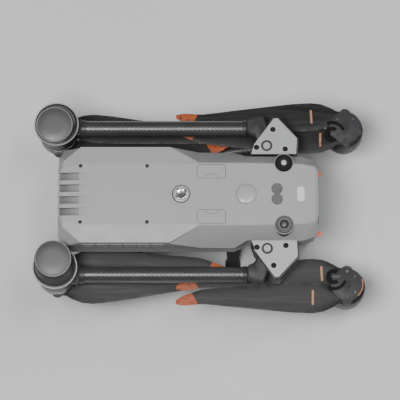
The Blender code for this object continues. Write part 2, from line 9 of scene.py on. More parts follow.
import bmesh
import bpy
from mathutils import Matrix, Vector


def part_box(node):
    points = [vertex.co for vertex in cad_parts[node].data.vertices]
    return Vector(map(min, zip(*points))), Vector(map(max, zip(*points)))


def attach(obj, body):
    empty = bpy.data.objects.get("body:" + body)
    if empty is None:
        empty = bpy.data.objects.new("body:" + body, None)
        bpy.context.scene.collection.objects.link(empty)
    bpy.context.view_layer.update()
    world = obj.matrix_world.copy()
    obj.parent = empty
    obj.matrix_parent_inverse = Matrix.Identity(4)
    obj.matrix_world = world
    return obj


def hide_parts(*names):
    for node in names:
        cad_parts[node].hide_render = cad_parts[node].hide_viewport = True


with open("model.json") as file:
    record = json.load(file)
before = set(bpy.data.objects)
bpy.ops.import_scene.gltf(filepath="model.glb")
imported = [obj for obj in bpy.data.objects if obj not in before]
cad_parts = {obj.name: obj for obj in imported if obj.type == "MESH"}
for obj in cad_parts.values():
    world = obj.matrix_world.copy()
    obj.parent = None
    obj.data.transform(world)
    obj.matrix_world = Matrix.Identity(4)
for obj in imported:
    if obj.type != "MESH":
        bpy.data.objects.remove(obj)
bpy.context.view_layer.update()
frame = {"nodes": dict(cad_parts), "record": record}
NODES = frame["nodes"]
MM = 0.001
SIDES = (("left", 1), ("right", -1))

# Places shared with the CAD model, in millimetres
DECK_Z = 180.0
REAR_HALF = 54.0
BELLY_Z = 60.0
NOSE_X = 129.6
FRONT_HINGE = (73.7, 58.0)
REAR_HINGE = (-90.0, 54.0)
FRONT_MOTOR = (-158.4, 80.3)
REAR_MOTOR = (163.0, 90.0)
FRONT_ARM_Y = 83.0
FRONT_ARM_Z = 143.0
REAR_ARM_Z = 80.0
TUBE_R = 8.7
TUBE_BORE = 7.3
FRONT_FACE_Z = 136.2
REAR_FACE_Z = 93.5
BELL_H = 19.6
HUB_H = 12.0
BLADE_PIN_OFFSET = 14.5
BLADE_LENGTH = 190.0
BLADE_CHORD = 35.0
BLADE_LEAN = {
    "front_left": {"a": 4.5, "b": 0.0},
    "front_right": {"a": 4.5, "b": 0.0},
    "rear_left": {"a": 2.4, "b": 1.5},
    "rear_right": {"a": 0.6, "b": 3.2},
}
GAP = 0.3


# ------------------------ camera, light and floor

VIEW_ELEVATION = 77.0
VIEW_DISTANCE = 2.9
LENS = 236.0
AIM = Vector((0.0, 0.0, 0.150))
# Name, place in metres, width and depth, watts and colour
LIGHTS = (
    ("key", (-0.4, -0.55, 2.65), (0.8, 0.5), 57, (1.0, 0.985, 0.965)),
    ("top", (0.45, -0.1, 2.8), (0.8, 0.4), 16, (0.94, 0.97, 1.0)),
    ("rim", (1.7, 0.4, 1.2), (0.4, 0.8), 6, (1.0, 1.0, 1.0)),
)
WORLD_STRENGTH = 0.075


def stage():
    """The camera, the lights, the world and the floor."""
    scene = bpy.context.scene
    slope = math.radians(VIEW_ELEVATION)
    camera = bpy.data.objects.new("camera", bpy.data.cameras.new("camera"))
    camera.data.lens = LENS
    camera.data.clip_end = 20
    camera.location = AIM + VIEW_DISTANCE * Vector((0, -math.cos(slope), math.sin(slope)))
    camera.rotation_euler = (math.pi / 2 - slope, 0, 0)
    scene.collection.objects.link(camera)
    scene.camera = camera

    for name, place, size, watts, colour in LIGHTS:
        lamp = bpy.data.lights.new(name, "AREA")
        lamp.shape = "RECTANGLE"
        lamp.size, lamp.size_y = size
        lamp.energy = watts
        lamp.color = colour
        made = bpy.data.objects.new(name, lamp)
        made.location = place
        made.rotation_euler = (AIM - Vector(place)).to_track_quat("-Z", "Y").to_euler()
        scene.collection.objects.link(made)

    world = bpy.data.worlds.new("studio")
    world.use_nodes = True
    world.node_tree.nodes["Background"].inputs["Color"].default_value = (0.80, 0.84, 0.90, 1)
    world.node_tree.nodes["Background"].inputs["Strength"].default_value = WORLD_STRENGTH
    scene.world = world

    bpy.ops.mesh.primitive_plane_add(size=8, location=(0, 0, -0.0005))
    floor = bpy.context.object
    floor.name = "floor"
    paper = finish("floor_paper", (0.82, 0.82, 0.82), 0.9, grain=(300, 0.05), mottle=(3, 0.03))
    floor.data.materials.append(paper)


# ------------------------ materials

# Blades: colours, where the orange tip starts and how it slants, and the lines by the roots
ORANGE = (0.44, 0.105, 0.038)
TIP_START = 170.0
TIP_SLANT = -0.55
LINE_ORANGE = (0.50, 0.25, 0.16)
ROOT_LINES = {"a": 38.0, "b": 28.0}
ROOT_LINE_HALF = 8.0
# Height of the moulded grain in metres, noise scale of the rings on turned metal, and a carbon tow's width
GRAIN_HEIGHT = 0.00012
RING_SCALE = 2700
TOW = 1.25


class Graph:
    """A short way to write one material's nodes."""

    def __init__(self, name):
        self.material = bpy.data.materials.new(name)
        self.material.use_nodes = True
        self.tree = self.material.node_tree
        self.shader = self.tree.nodes["Principled BSDF"]
        self.place = self.tree.nodes.new("ShaderNodeTexCoord").outputs["Object"]

    def node(self, kind, **settings):
        made = self.tree.nodes.new("ShaderNode" + kind)
        for key, value in settings.items():
            setattr(made, key, value)
        return made

    def feed(self, socket, value):
        if isinstance(value, bpy.types.NodeSocket):
            self.tree.links.new(value, socket)
        else:
            socket.default_value = value

    def surface(self, name, value):
        self.feed(self.shader.inputs[name], value)

    def math(self, operation, a, b=0.0):
        made = self.node("Math", operation=operation)
        self.feed(made.inputs[0], a)
        self.feed(made.inputs[1], b)
        return made.outputs[0]

    def noise(self, scale, detail=2.0, stretch=None, roughness=0.5):
        made = self.node("TexNoise")
        source = self.place
        if stretch:
            mapping = self.node("Mapping")
            self.feed(mapping.inputs["Vector"], source)
            mapping.inputs["Scale"].default_value = stretch
            source = mapping.outputs[0]
        self.feed(made.inputs["Vector"], source)
        made.inputs["Scale"].default_value = scale
        made.inputs["Detail"].default_value = detail
        made.inputs["Roughness"].default_value = roughness
        return made.outputs["Fac"]

    def remap(self, value, low, high, to_low, to_high):
        made = self.node("MapRange")
        self.feed(made.inputs["Value"], value)
        for key, number in zip(("From Min", "From Max", "To Min", "To Max"), (low, high, to_low, to_high)):
            self.feed(made.inputs[key], number)
        return made.outputs["Result"]

    def mix(self, share, first, second):
        made = self.node("Mix", data_type="RGBA")
        self.feed(made.inputs["Factor"], share)
        self.feed(made.inputs["A"], first if isinstance(first, bpy.types.NodeSocket) else (*first, 1))
        self.feed(made.inputs["B"], second if isinstance(second, bpy.types.NodeSocket) else (*second, 1))
        return made.outputs["Result"]

    def bump(self, height, strength, distance, below=None):
        made = self.node("Bump")
        made.inputs["Strength"].default_value = strength
        made.inputs["Distance"].default_value = distance
        self.feed(made.inputs["Height"], height)
        if below:
            self.feed(made.inputs["Normal"], below)
        return made.outputs[0]

    def xyz(self):
        made = self.node("SeparateXYZ")
        self.feed(made.inputs[0], self.place)
        return made.outputs

    def edges(self, start=0.53, end=0.6):
        pointed = self.node("NewGeometry").outputs["Pointiness"]
        return self.remap(pointed, start, end, 0.0, 1.0)


def shade(colour, factor):
    return tuple(min(1.0, c * factor) for c in colour)


def finish(name, colour, roughness, metallic=0.0, grain=(1800, 0.25), mottle=(14, 0.06), wear=0.0, coat=0.0,
           rough_span=0.06, scuffs=0.0, specular=0.5, emission=None):
    """A moulded or machined surface: mottled colour, grain, uneven gloss, worn edges and light scuffs."""
    g = Graph(name)
    size, depth = mottle
    cloud = g.noise(size, 4)
    body = g.mix(g.remap(cloud, 0.3, 0.7, 0, 1), shade(colour, 1 - depth), shade(colour, 1 + depth))
    fine = g.noise(grain[0], 3, roughness=0.6)
    body = g.mix(g.remap(fine, 0.35, 0.65, 0, 0.12), body, shade(colour, 0.72))
    if scuffs:
        streak = g.noise(60, 6, stretch=(1, 9, 4), roughness=0.7)
        body = g.mix(g.remap(streak, 0.62, 0.75, 0, scuffs), body, shade(colour, 1.6))
    if wear:
        broken = g.math("MULTIPLY", g.edges(), g.remap(g.noise(220, 3), 0.4, 0.6, 0.2, 1.0))
        body = g.mix(g.math("MULTIPLY", broken, wear), body, tuple(c * 0.5 + 0.18 for c in colour))
    g.surface("Base Color", body)
    uneven = g.noise(size * 5, 5)
    g.surface("Roughness", g.remap(uneven, 0.3, 0.7, roughness - rough_span, roughness + rough_span))
    g.surface("Metallic", metallic)
    g.surface("Specular IOR Level", specular)
    g.surface("Coat Weight", coat)
    g.surface("Coat Roughness", 0.08)
    if emission:
        g.surface("Emission Color", (*emission[:3], 1))
        g.surface("Emission Strength", emission[3])
    g.surface("Normal", g.bump(fine, grain[1], GRAIN_HEIGHT))
    return g.material


def brushed(name, colour, roughness, centre, metallic=0.85):
    """Metal turned on a lathe: fine rings about a centre, given in metres."""
    g = Graph(name)
    x, y, z = g.xyz()
    dx = g.math("SUBTRACT", x, centre[0])
    dy = g.math("SUBTRACT", y, centre[1])
    radius = g.math("SQRT", g.math("ADD", g.math("MULTIPLY", dx, dx), g.math("MULTIPLY", dy, dy)))
    line = g.node("TexNoise", noise_dimensions="1D")
    g.feed(line.inputs["W"], g.math("ADD", radius, g.math("MULTIPLY", z, 0.7)))
    line.inputs["Scale"].default_value = RING_SCALE
    line.inputs["Detail"].default_value = 4
    rings = line.outputs["Fac"]
    cloud = g.noise(30, 4)
    body = g.mix(g.remap(rings, 0.3, 0.7, 0, 1), shade(colour, 0.86), shade(colour, 1.12))
    body = g.mix(g.remap(cloud, 0.4, 0.7, 0, 0.25), body, shade(colour, 0.8))
    g.surface("Base Color", body)
    g.surface("Roughness", g.remap(cloud, 0.3, 0.7, roughness - 0.06, roughness + 0.08))
    g.surface("Metallic", metallic)
    g.surface("Normal", g.bump(rings, 0.25, 0.00006))
    return g.material


def woven_tube(name, line_y, slope, line_z):
    """Twill-woven carbon around a tube.

    The tube's middle runs at y = line_y + slope * x, at height line_z, all in metres.
    """
    g = Graph(name)
    x, y, z = g.xyz()
    across = g.math("SUBTRACT", y, g.math("ADD", g.math("MULTIPLY", x, slope), line_y))
    above = g.math("SUBTRACT", z, line_z)
    around = g.math("MULTIPLY", g.math("ARCTAN2", across, above), TUBE_R / TOW)
    along = g.math("MULTIPLY", x, 1 / (TOW * MM))
    cell = g.math("ADD", g.math("FLOOR", along), g.math("FLOOR", around))
    over = g.math("LESS_THAN", g.math("FLOORED_MODULO", cell, 4.0), 2.0)
    warp = g.math("SINE", g.math("MULTIPLY", g.math("FRACT", around), math.pi))
    weft = g.math("SINE", g.math("MULTIPLY", g.math("FRACT", along), math.pi))
    under = g.math("SUBTRACT", 1.0, over)
    fibres = g.math("ADD", g.math("MULTIPLY", over, warp), g.math("MULTIPLY", under, weft))
    dark = g.mix(over, (0.034, 0.034, 0.036), (0.066, 0.066, 0.068))
    body = g.mix(g.remap(fibres, 0.0, 0.7, 1.0, 0.0), dark, (0.016, 0.016, 0.017))
    body = g.mix(g.remap(g.noise(35, 4), 0.5, 0.75, 0.0, 0.25), body, (0.10, 0.10, 0.10))
    g.surface("Base Color", body)
    g.surface("Roughness", g.remap(g.noise(90, 4), 0.3, 0.7, 0.30, 0.44))
    g.surface("Coat Weight", 0.35)
    g.surface("Coat Roughness", 0.22)
    g.surface("Normal", g.bump(fibres, 0.35, 0.00018))
    return g.material


def blade_material(name, pin, facing, turn, root_line):
    """Black moulded blade with a slanted orange tip and, where root_line is given, a line by its root.

    pin is the fold axis in millimetres, facing the blade's heading in degrees, turn +1 or -1 for its
    rotor's hand and root_line the line's distance from the pin.
    """
    g = Graph(name)
    x, y, _ = g.xyz()
    east = g.math("MULTIPLY", g.math("SUBTRACT", x, pin[0] * MM), 1 / MM)
    north = g.math("MULTIPLY", g.math("SUBTRACT", y, pin[1] * MM), 1 / MM)
    cosine, sine = math.cos(math.radians(facing)), math.sin(math.radians(facing))
    along = g.math("ADD", g.math("MULTIPLY", east, cosine), g.math("MULTIPLY", north, sine))
    sideways = g.math("MULTIPLY", east, sine * turn)
    across = g.math("SUBTRACT", g.math("MULTIPLY", north, cosine * turn), sideways)
    wobble = g.math("MULTIPLY", g.math("SUBTRACT", g.noise(400, 2), 0.5), 0.7)
    slanted = g.math("ADD", g.math("ADD", along, wobble), g.math("MULTIPLY", across, TIP_SLANT))
    paint = g.math("GREATER_THAN", slanted, TIP_START)
    line = g.math("LESS_THAN", g.math("ABSOLUTE", g.math("SUBTRACT", along, root_line)), 1.2)
    short = g.math("LESS_THAN", g.math("ABSOLUTE", across), ROOT_LINE_HALF if root_line else -1.0)
    line = g.math("MULTIPLY", line, short)
    paint = g.math("MAXIMUM", paint, line)
    chipped = g.math("MULTIPLY", paint, g.remap(g.noise(260, 5), 0.60, 0.66, 1.0, 0.0))
    streaks = g.noise(50, 5, stretch=(0.4, 6, 6))
    black = g.mix(g.remap(streaks, 0.35, 0.7, 0, 1), (0.022, 0.022, 0.023), (0.036, 0.036, 0.035))
    worn = g.math("MULTIPLY", g.edges(0.52, 0.62), g.remap(g.noise(90, 4), 0.45, 0.6, 0.0, 0.5))
    black = g.mix(worn, black, (0.13, 0.13, 0.125))
    orange = g.mix(g.remap(g.noise(70, 4), 0.3, 0.7, 0, 1), ORANGE, shade(ORANGE, 0.82))
    orange = g.mix(line, orange, LINE_ORANGE)
    g.surface("Base Color", g.mix(chipped, black, orange))
    g.surface("Roughness", g.remap(streaks, 0.3, 0.7, 0.46, 0.60))
    g.surface("Specular IOR Level", 0.28)
    layered = g.bump(chipped, 0.2, 0.0001)
    g.surface("Normal", g.bump(g.noise(1500, 3), 0.18, 0.00008, layered))
    return g.material


# ------------------------ shapes, in millimetres

def loft(rings):
    """Skin a row of rings that have the same number of points, and close both ends."""
    count = len(rings[0])
    points = [p for ring in rings for p in ring]
    faces = []
    for row in range(len(rings) - 1):
        low = row * count
        for i in range(count):
            j = (i + 1) % count
            faces.append((low + i, low + j, low + count + j, low + count + i))
    faces.append(tuple(range(count)))
    faces.append(tuple(range(len(points) - count, len(points))))
    return points, faces


def prism(outline, low, high):
    return loft([[(x, y, z) for x, y in outline] for z in (low, high)])


def slab(size, centre=(0, 0, 0)):
    (a, b, c), (x, y, z) = size, centre
    outline = [(x - a / 2, y - b / 2), (x + a / 2, y - b / 2), (x + a / 2, y + b / 2), (x - a / 2, y + b / 2)]
    return prism(outline, z - c / 2, z + c / 2)


def turned(profile, axis="Z", steps=64):
    """Turn a closed profile of (radius, height) points; a radius of 0 is a point on the axis."""
    points, rings, faces = [], [], []
    for radius, height in profile:
        if radius == 0:
            rings.append([len(points)] * steps)
            points.append((0, 0, height))
            continue
        rings.append(list(range(len(points), len(points) + steps)))
        for i in range(steps):
            angle = 2 * math.pi * i / steps
            points.append((radius * math.cos(angle), radius * math.sin(angle), height))
    for k, ring in enumerate(rings):
        following = rings[(k + 1) % len(rings)]
        for i in range(steps):
            j = (i + 1) % steps
            corners = dict.fromkeys((ring[i], ring[j], following[j], following[i]))
            if len(corners) > 2:
                faces.append(tuple(corners))
    order = {"Z": (0, 1, 2), "X": (2, 0, 1)}[axis]
    return [tuple(p[i] for i in order) for p in points], faces


def ring_shape(radius, bore, low, high, axis="Z", ease=0.3):
    """A flat ring with eased outer and inner edges."""
    profile = [(radius, low), (radius, high - ease), (radius - ease, high), (bore + ease, high),
               (bore, high - ease), (bore, low)]
    return turned(profile, axis)


def disc(radius, low, high, axis="Z", ease=0.3):
    return turned([(0, low), (radius, low), (radius, high - ease), (radius - ease, high), (0, high)], axis)


def moved(shape, by):
    points, faces = shape
    return [tuple(a + b for a, b in zip(p, by)) for p in points], faces


def yawed(shape, degrees):
    points, faces = shape
    cosine, sine = math.cos(math.radians(degrees)), math.sin(math.radians(degrees))
    return [(x * cosine - y * sine, x * sine + y * cosine, z) for x, y, z in points], faces


def pitched(shape, degrees):
    """Turn about the Y axis."""
    points, faces = shape
    cosine, sine = math.cos(math.radians(degrees)), math.sin(math.radians(degrees))
    return [(x * cosine + z * sine, y, z * cosine - x * sine) for x, y, z in points], faces


def flipped(shape, up):
    points, faces = shape
    return [(x, y, z * up) for x, y, z in points], faces


def mirrored(shape, x_sign, y_sign):
    points, faces = shape
    return [(x * x_sign, y * y_sign, z) for x, y, z in points], faces


def leaned(shape, base, lean_x, lean_y):
    points, faces = shape
    return [(x + (z - base) * lean_x, y + (z - base) * lean_y, z) for x, y, z in points], faces


def together(*shapes):
    """Several separate solids in one piece."""
    points, faces = [], []
    for more_points, more_faces in shapes:
        first = len(points)
        points += more_points
        faces += [tuple(first + i for i in face) for face in more_faces]
    return points, faces


def arc(centre, radius, start, end, steps=12):
    angles = [math.radians(start + (end - start) * i / steps) for i in range(steps + 1)]
    return [(centre[0] + radius * math.cos(a), centre[1] + radius * math.sin(a)) for a in angles]


def rounded(width, depth, corner, steps=5):
    """A rounded rectangle's outline about the origin."""
    outline = []
    for sx, sy, start in ((1, 1, 0), (-1, 1, 90), (-1, -1, 180), (1, -1, 270)):
        centre = (sx * (width / 2 - corner), sy * (depth / 2 - corner))
        outline += arc(centre, corner, start, start + 90, steps)
    return outline


# ------------------------ pieces

# Angles in degrees: edges sharper than the first are rounded, faces flatter than the second are joined
ROUNDED_ABOVE = 34
FLAT_BELOW = 1.0


def body_of(node):
    for body, members in frame["record"]["behaviour"]["bodies"].items():
        if node in members:
            return body
    raise ValueError(node)


def soften(made, width, segments, crease):
    """Round the edges over by width and shade smooth, except across edges above the crease angle."""
    if width:
        step = made.modifiers.new("rounding", "BEVEL")
        step.width = width * MM
        step.segments = segments
        step.limit_method = "ANGLE"
        step.angle_limit = math.radians(ROUNDED_ABOVE)
        step.miter_outer = "MITER_ARC"
        step.harden_normals = True
    made.data.shade_smooth()
    made.data.set_sharp_from_angle(angle=math.radians(crease))


def piece(name, shape, finish_used, body, at=(0, 0, 0), rounding=0.0, stands_for=(), crease=34,
          segments=2):
    """A new visible piece that rides on a CAD body and may stand for CAD nodes."""
    points, faces = shape
    mesh = bpy.data.meshes.new(name)
    build = bmesh.new()
    made_points = [build.verts.new((Vector(p) + Vector(at)) * MM) for p in points]
    for face in faces:
        build.faces.new([made_points[i] for i in face])
    bmesh.ops.recalc_face_normals(build, faces=build.faces)
    build.to_mesh(mesh)
    build.free()
    made = bpy.data.objects.new(name, mesh)
    bpy.context.scene.collection.objects.link(made)
    mesh.materials.append(finish_used)
    soften(made, rounding, segments, crease)
    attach(made, body)
    if stands_for:
        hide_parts(*stands_for)
    return made


def refined(node, finish_used, rounding=0.5, crease=34, segments=2):
    """The CAD node's own shape with its flat faces rejoined and its edges rounded over."""
    mesh = NODES[node].data.copy()
    build = bmesh.new()
    build.from_mesh(mesh)
    bmesh.ops.remove_doubles(build, verts=build.verts, dist=1e-5)
    flat = math.radians(FLAT_BELOW)
    bmesh.ops.dissolve_limit(build, angle_limit=flat, verts=build.verts, edges=build.edges)
    bmesh.ops.recalc_face_normals(build, faces=build.faces)
    build.to_mesh(mesh)
    build.free()
    mesh.materials.clear()
    mesh.materials.append(finish_used)
    for polygon in mesh.polygons:
        polygon.material_index = 0
    made = bpy.data.objects.new(node + "_surface", mesh)
    bpy.context.scene.collection.objects.link(made)
    soften(made, rounding, segments, crease)
    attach(made, body_of(node))
    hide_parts(node)
    return made


# ------------------------ the finishes in use

SHELL = finish("moulded_grey", (0.40, 0.402, 0.410), 0.48, grain=(2600, 0.30), mottle=(9, 0.035),
               wear=0.35, scuffs=0.10)
DOME = finish("dome_grey", (0.43, 0.432, 0.44), 0.34, grain=(2600, 0.15), mottle=(20, 0.02), coat=0.3)
BRACKET = finish("bracket_grey", (0.42, 0.428, 0.430), 0.42, grain=(3200, 0.22), mottle=(24, 0.04),
                 wear=0.6, metallic=0.25)
BLACK = finish("black_nylon", (0.028, 0.028, 0.030), 0.55, grain=(2200, 0.38), mottle=(18, 0.16),
               wear=0.25, scuffs=0.4, specular=0.3)
SATIN_BLACK = finish("satin_black", (0.032, 0.033, 0.035), 0.42, grain=(2600, 0.2), mottle=(22, 0.12),
                     wear=0.3, scuffs=0.3, specular=0.35)
SLEEVE = finish("sleeve_black", (0.042, 0.043, 0.045), 0.52, grain=(2400, 0.3), mottle=(20, 0.12),
                wear=0.3, scuffs=0.3, specular=0.3)
RUBBER = finish("rubber", (0.016, 0.016, 0.016), 0.80, grain=(1200, 0.4), mottle=(40, 0.2), specular=0.2)
PACK = finish("battery_case", (0.075, 0.077, 0.080), 0.44, grain=(2000, 0.4), mottle=(16, 0.1),
              wear=0.4, scuffs=0.4)
ANODISED = finish("dark_anodised", (0.075, 0.076, 0.080), 0.36, metallic=0.75, grain=(3000, 0.12),
                  mottle=(30, 0.1), wear=0.6)
GLASS = finish("lens_glass", (0.006, 0.007, 0.010), 0.05, grain=(500, 0.0), mottle=(20, 0.1), coat=1.0,
               rough_span=0.02)
COATED = finish("coated_glass", (0.020, 0.012, 0.045), 0.06, grain=(500, 0.0), mottle=(60, 0.4), coat=1.0,
                rough_span=0.02)
# Pale colour on a dark glass lens: a painted glint
GLINT_EYE = finish("lens_painted_glint", (0.55, 0.56, 0.60), 0.12, grain=(500, 0.0), mottle=(90, 0.25), coat=1.0,
                  rough_span=0.03)
WINDOW = finish("sensor_window", (0.115, 0.115, 0.12), 0.42, grain=(900, 0.03), mottle=(50, 0.12))
# Near-black for painted shade inside grooves, holes, slots, sockets and grips
RECESS_SHADE = finish("recess_painted_shade", (0.010, 0.010, 0.011), 0.75, grain=(900, 0.2), mottle=(30, 0.2))
# Dark grey for painted shadow along seams, rims and shallow grooves
SEAM_SHADOW = finish("seam_shadow", (0.12, 0.12, 0.123), 0.7, grain=(900, 0.2), mottle=(30, 0.2))
STEEL = finish("socket_steel", (0.34, 0.34, 0.35), 0.30, metallic=1.0, grain=(2400, 0.1), mottle=(60, 0.1),
               wear=0.3)
DARK_STEEL = finish("black_screw", (0.05, 0.05, 0.052), 0.38, metallic=0.9, grain=(2400, 0.1),
                    mottle=(60, 0.1), wear=0.7)
BOARD = finish("circuit_board", (0.012, 0.10, 0.05), 0.35, grain=(800, 0.2), mottle=(120, 0.3), coat=0.4)
ORANGE_PAINT = finish("orange_mark", ORANGE, 0.42, grain=(1600, 0.2), mottle=(60, 0.12), wear=0.4)
RED_LAMP = finish("lamp_red", (0.80, 0.16, 0.10), 0.25, grain=(600, 0.05), mottle=(60, 0.1), coat=0.8,
                  emission=(0.9, 0.2, 0.12, 0.25))
WHITE_LAMP = finish("lamp_white", (0.85, 0.86, 0.88), 0.25, grain=(600, 0.05), mottle=(60, 0.04), coat=0.6)
GREEN_LAMP = finish("lamp_green", (0.10, 0.55, 0.22), 0.25, grain=(600, 0.05), mottle=(60, 0.1), coat=0.6)
BADGE = finish("badge_light", (0.82, 0.83, 0.84), 0.3, grain=(1600, 0.1), mottle=(60, 0.03))
RIM_METAL = finish("rim_metal", (0.52, 0.52, 0.525), 0.36, metallic=0.55, grain=(2400, 0.1),
                   mottle=(50, 0.08), wear=0.4)
# Near-black and low-gloss: painted shadow of the gaps round the blades' roots
GAP_SHADOW_BLACK = finish("gap_shadow_black", (0.008, 0.008, 0.009), 0.60, grain=(2400, 0.2), mottle=(30, 0.2),
                    specular=0.12)
CLIP_GREY = finish("clip_grey", (0.075, 0.076, 0.078), 0.45, grain=(2400, 0.2), mottle=(30, 0.15),
                   specular=0.3)
CAP_WALL = finish("cap_wall", (0.020, 0.020, 0.021), 0.40, metallic=0.2, grain=(2600, 0.2), mottle=(30, 0.1),
                  wear=0.3)
CHROME_KNOB = finish("polished_knob", (0.66, 0.66, 0.68), 0.16, metallic=0.9, grain=(2000, 0.04),
                     mottle=(90, 0.08))

FUSELAGE = "fuselage"


def screws(name, places, radius, up=1):
    """Socket-head screws, each in a near-black ring of painted shade round its head, on a face that looks up,
    or down where up is -1.
    """
    head = [(0, -0.6), (radius, -0.6), (radius, 0.1), (radius * 0.9, 0.2), (radius * 0.5, 0.2),
            (radius * 0.46, 0.06), (0, 0.06)]
    well = ring_shape(radius + 0.4, radius, -0.3, 0.07, ease=0.03)
    heads = [moved(flipped(turned(head, steps=24), up), place) for place in places]
    wells = [moved(flipped(well, up), place) for place in places]
    piece(name + "_heads", together(*heads), BLACK, FUSELAGE)
    piece(name + "_wells", together(*wells), RECESS_SHADE, FUSELAGE)


# ------------------------ fuselage

BUTTON_AT = (-20.6, 0.0)
BEACON_AT = (50.9, 0.0)
SENSOR_X = 84.4
SENSOR_Y = 5.9
TOP_CAMERA_AT = (92.0, 34.6)
# Bezel, ring and eye of each top camera. The cameras are one part in mirror: the left eye's pale colour is a
# painted glint, and the right camera's grey bezel, ring and eye are painted sheen, a lighter copy of the
# left's dark parts.
CAMERA_PAINTED_LIGHT_FINISHES = {"left": (RUBBER, RUBBER, GLINT_EYE), "right": (SEAM_SHADOW, WINDOW, WINDOW)}
DECK_SCREWS = [(x, y, DECK_Z) for x in (-131.0, -58.0) for y in (31.5, -31.5)]
SCOOP_YS = (19.8, 6.6, -6.6, -19.8)
# The flutes at the tail: rows of the floor as x, height and half width.
SCOOP_FLOOR_STEPS = ((-113, 178.6, 3.0), (-124, 178.0, 4.9), (-140, 175.6, 5.2), (-155.5, 172.0, 5.2))
SCOOP_ANGLES = [math.pi * n / 8 for n in range(9)]
SCOOP_SAG = 2.0
SIDE_VENT_XS = [-122.0 + 15.0 * n for n in range(6)]
SIDE_VENT_Z = 162.5
# The painted shade on the flute floors: darkest at the first x, gone at the second, in metres
FLUTE_SHADE_FADE = (-0.150, -0.124)
BELLY_PLATE_X = -40.0
BELLY_RIB_XS = [BELLY_PLATE_X - 32.5 + 6.5 * n for n in range(11)]
BELLY_SENSOR_X = 20.0
BELLY_SCREWS = [(x, y, BELLY_Z) for x in (-142.0, -84.0, -60.0, 43.0) for y in (22.36, -22.36)]


def fuselage():
    refined("top_shell", SHELL, 1.1, crease=4)
    refined("belly_shell", BLACK, 1.0, crease=30)
    screws("deck_screw", DECK_SCREWS, 1.7)
    tail_scoops()
    side_vents()
    belly_details()


def flute_shade_material():
    """The shell's grey with patches of dust, and painted shade darkening it towards the tail, where the
    flutes run deep.
    """
    g = Graph("flute_painted_shade")
    # Painted shade: darkest at the tail end, fading to the shell's grey towards the front
    depth = g.remap(g.xyz()[0], *FLUTE_SHADE_FADE, 0.0, 1.0)
    grey = g.mix(depth, (0.115, 0.116, 0.119), (0.37, 0.372, 0.38))
    dust = g.remap(g.noise(90, 4), 0.35, 0.7, 0.0, 0.25)
    g.surface("Base Color", g.mix(dust, grey, (0.30, 0.30, 0.30)))
    g.surface("Roughness", g.remap(g.noise(300, 3), 0.3, 0.7, 0.5, 0.65))
    g.surface("Normal", g.bump(g.noise(2600, 3), 0.3, 0.00005))
    return g.material


def tail_scoops():
    """A sloping concave floor under each slot in the deck, darkened with painted shade towards the tail, so
    that the slots read as soft flutes.
    """
    floors = []
    for y in SCOOP_YS:
        rings = []
        for x, height, half in SCOOP_FLOOR_STEPS:
            edge = [(x, y + half * math.cos(a), height - SCOOP_SAG * math.sin(a)) for a in SCOOP_ANGLES]
            rings.append(edge + [(x, y - half, height - 4), (x, y + half, height - 4)])
        floors.append(loft(rings))
    piece("tail_scoop_floors", together(*floors), flute_shade_material(), FUSELAGE)


def side_vents():
    """Louvred openings along the widest part of both sides, each with a frame, three blades and a near-black
    sheet behind them that is painted shade.
    """
    for name, side in SIDES:
        hole_shades, frames, louvres = [], [], []
        for x in SIDE_VENT_XS:
            wall = REAR_HALF * side
            # A near-black sheet in each opening: painted shade
            hole_shades.append(slab((11.6, 0.5, 7.4), (x, wall, SIDE_VENT_Z)))
            for dz in (-4.0, 4.0):
                frames.append(slab((13.4, 1.0, 0.9), (x, wall, SIDE_VENT_Z + dz)))
            for dx in (-6.4, 6.4):
                frames.append(slab((0.9, 1.0, 8.9), (x + dx, wall, SIDE_VENT_Z)))
            for dz in (-2.1, 0.0, 2.1):
                louvres.append(slab((11.8, 0.9, 0.5), (x, wall + 0.05 * side, SIDE_VENT_Z + dz)))
        piece("side_vent_holes_" + name, together(*hole_shades), RECESS_SHADE, FUSELAGE)
        piece("side_vent_frames_" + name, together(*frames), SHELL, FUSELAGE, rounding=0.25)
        piece("side_vent_louvres_" + name, together(*louvres), SATIN_BLACK, FUSELAGE,
              rounding=0.1)


def belly_details():
    """The underside: a ribbed heat plate, two downward sensors, a lamp beside them, and screws."""
    low = BELLY_Z
    plate = prism(rounded(74, 40, 5), low - 0.6, low + 0.4)
    piece("belly_plate", plate, ANODISED, FUSELAGE, (BELLY_PLATE_X, 0, 0),
          rounding=0.25)
    rib = prism(rounded(3.2, 34, 1.5, 3), low - 1.5, low - 0.4)
    ribs = [moved(rib, (x, 0, 0)) for x in BELLY_RIB_XS]
    piece("belly_ribs", together(*ribs), ANODISED, FUSELAGE, rounding=0.3)
    frame_plate = prism(rounded(40, 34, 5), low - 0.7, low + 0.4)
    piece("belly_sensor_plate", frame_plate, SATIN_BLACK, FUSELAGE, (BELLY_SENSOR_X, 0, 0),
          rounding=0.3)
    for name, side in SIDES:
        at = (BELLY_SENSOR_X, 10.5 * side, 0)
        piece("belly_sensor_rim_" + name, ring_shape(5.6, 4.4, low - 1.6, low - 0.5), ANODISED, FUSELAGE,
              at)
        piece("belly_sensor_" + name, disc(4.5, low - 1.1, low - 0.4), COATED, FUSELAGE, at)
    lamp = prism(rounded(9, 6, 2.4), low - 1.0, low - 0.5)
    piece("belly_lamp", lamp, WHITE_LAMP, FUSELAGE, (9, 0, 0), rounding=0.15)
    screws("belly_screw", BELLY_SCREWS, 1.5, up=-1)


